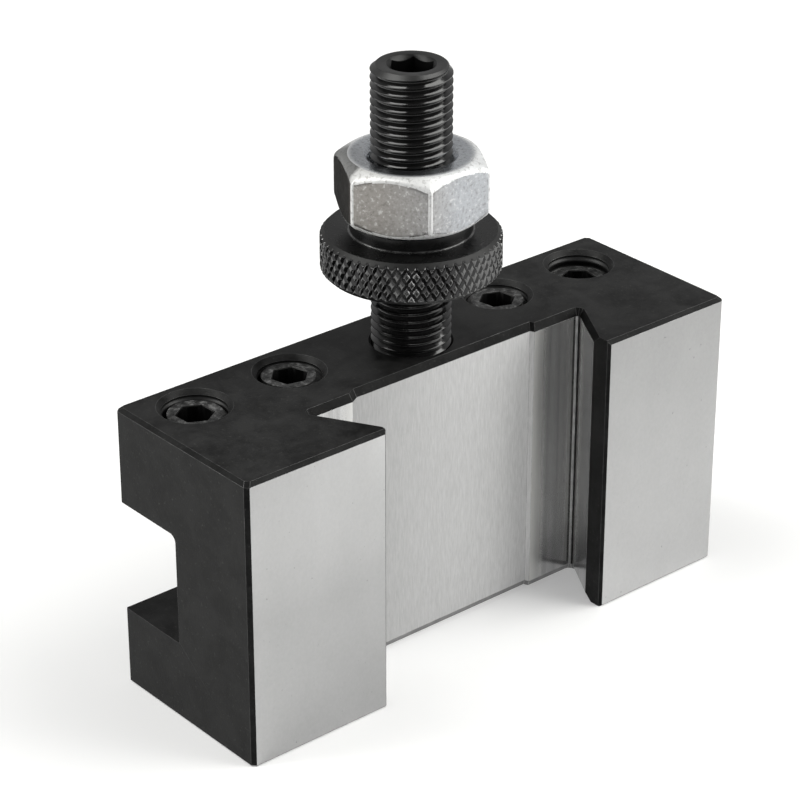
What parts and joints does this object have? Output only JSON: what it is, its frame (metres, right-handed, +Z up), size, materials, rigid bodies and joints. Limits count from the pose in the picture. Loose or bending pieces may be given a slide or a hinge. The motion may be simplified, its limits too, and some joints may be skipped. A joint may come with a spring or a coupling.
{
  "type": "turning tool holder",
  "caption": "Steel quick-change turning tool holder with a dovetail groove, an open tool slot under socket set screws, and a knurled height collar on a threaded stud.",
  "frame": {"origin": "centre of the block's base", "axes": "+X along the block, -Y out of the dovetail groove towards the tool post, +Z up along the stud"},
  "size_m": [0.0764, 0.0275, 0.074],
  "materials": {
    "block_steel": "black oxide, satin, with ground jaw faces",
    "screw_steel": "black oxide, satin",
    "stud_steel": "black oxide, glossy with oil",
    "collar_steel": "black oxide, satin, worn on the knurl tips",
    "nut_zinc": "zinc plated, satin"
  },
  "bodies": {
    "holder": {"holder_block": "block_steel", "height_stud": "stud_steel"},
    "screw_1": {"clamp_screw_1": "screw_steel"},
    "screw_2": {"clamp_screw_2": "screw_steel"},
    "screw_3": {"clamp_screw_3": "screw_steel"},
    "screw_4": {"clamp_screw_4": "screw_steel"},
    "collar": {"height_collar": "collar_steel"},
    "nut": {"lock_nut": "nut_zinc"}
  },
  "joints": [
    {"name": "screw_1_travel", "type": "slide", "parent": "holder", "child": "screw_1", "axis": [0, 0, 1], "range_m": [-0.0075, 0.004]},
    {"name": "screw_2_travel", "type": "slide", "parent": "holder", "child": "screw_2", "axis": [0, 0, 1], "range_m": [-0.0075, 0.004]},
    {"name": "screw_3_travel", "type": "slide", "parent": "holder", "child": "screw_3", "axis": [0, 0, 1], "range_m": [-0.0075, 0.004]},
    {"name": "screw_4_travel", "type": "slide", "parent": "holder", "child": "screw_4", "axis": [0, 0, 1], "range_m": [-0.0065, 0.004]},
    {"name": "collar_travel", "type": "slide", "parent": "holder", "child": "collar", "axis": [0, 0, 1], "range_m": [-0.0092, 0]},
    {"name": "nut_travel", "type": "slide", "parent": "holder", "child": "nut", "axis": [0, 0, 1], "range_m": [0, 0.0105]}
  ]
}
